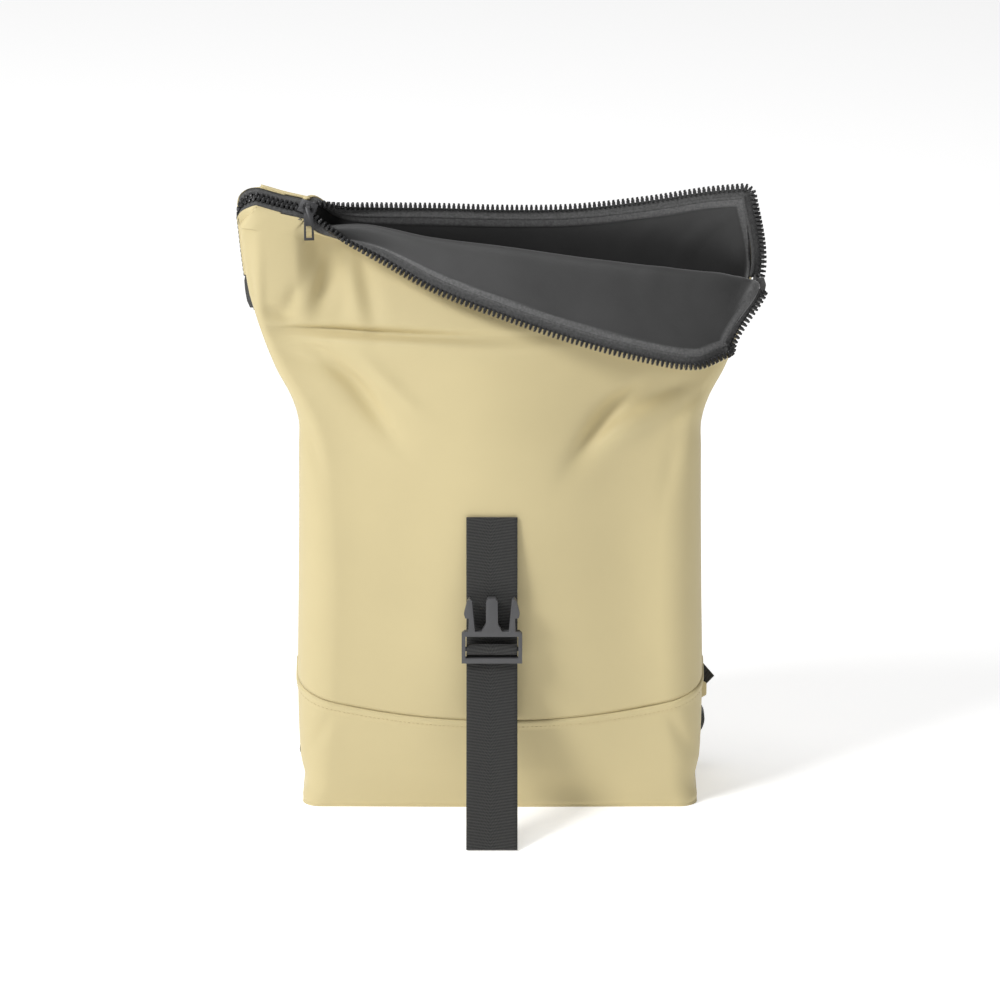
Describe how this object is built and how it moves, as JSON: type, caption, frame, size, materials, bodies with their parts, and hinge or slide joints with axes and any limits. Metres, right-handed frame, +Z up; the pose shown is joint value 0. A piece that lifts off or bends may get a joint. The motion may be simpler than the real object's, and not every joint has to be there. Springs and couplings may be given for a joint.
{
  "type": "rolltop backpack",
  "caption": "Tan rolltop backpack, unrolled and standing, with its top zip open, a front webbing and buckle whose loose end reaches the ground, and padded shoulder straps.",
  "frame": {"origin": "middle of the underside of the base, on the ground", "axes": "+Z up the bag, +Y towards its back with the shoulder straps, +X to the right of someone who looks at its front"},
  "size_m": [0.3944, 0.2379, 0.4689],
  "materials": {
    "canvas": "matte coated plain-weave fabric",
    "lining": "smooth dark lining with a faint sheen",
    "zip_tape": "fuzzy woven grey tape",
    "zip_teeth": "black moulded teeth",
    "zip_metal": "dark grey satin metal",
    "webbing": "herringbone woven webbing",
    "buckle": "fine matte moulded plastic",
    "padding": "padded dark fabric"
  },
  "bodies": {
    "bag": {"front_panel": "canvas", "back_panel": "canvas", "base_band": "canvas", "base_plate": "canvas", "lining_front": "lining", "lining_back": "lining", "zip_tape_front": "zip_tape", "zip_tape_back": "zip_tape", "zip_teeth_front": "zip_teeth", "zip_teeth_back": "zip_teeth", "zip_slider": "zip_metal", "zip_end_tab_left": "webbing", "zip_end_tab_right": "webbing", "front_webbing": "webbing", "buckle_prong_half": "buckle", "buckle_strap": "webbing", "shoulder_strap_left": "padding", "shoulder_strap_right": "padding", "lower_webbing_left": "webbing", "lower_webbing_right": "webbing", "strap_adjuster_left": "buckle", "strap_adjuster_right": "buckle", "wing_tab_left": "canvas", "wing_tab_right": "canvas", "rear_webbing": "webbing", "buckle_socket": "buckle"},
    "zip_puller": {"zip_puller": "zip_metal"}
  },
  "joints": [
    {"name": "puller_hinge", "type": "hinge", "parent": "bag", "child": "zip_puller", "pos_m": [-0.14148, -0.00905, 0.45673], "axis": [-0.9302, 0.1419, 0.3384], "range_deg": [0, 150]}
  ]
}
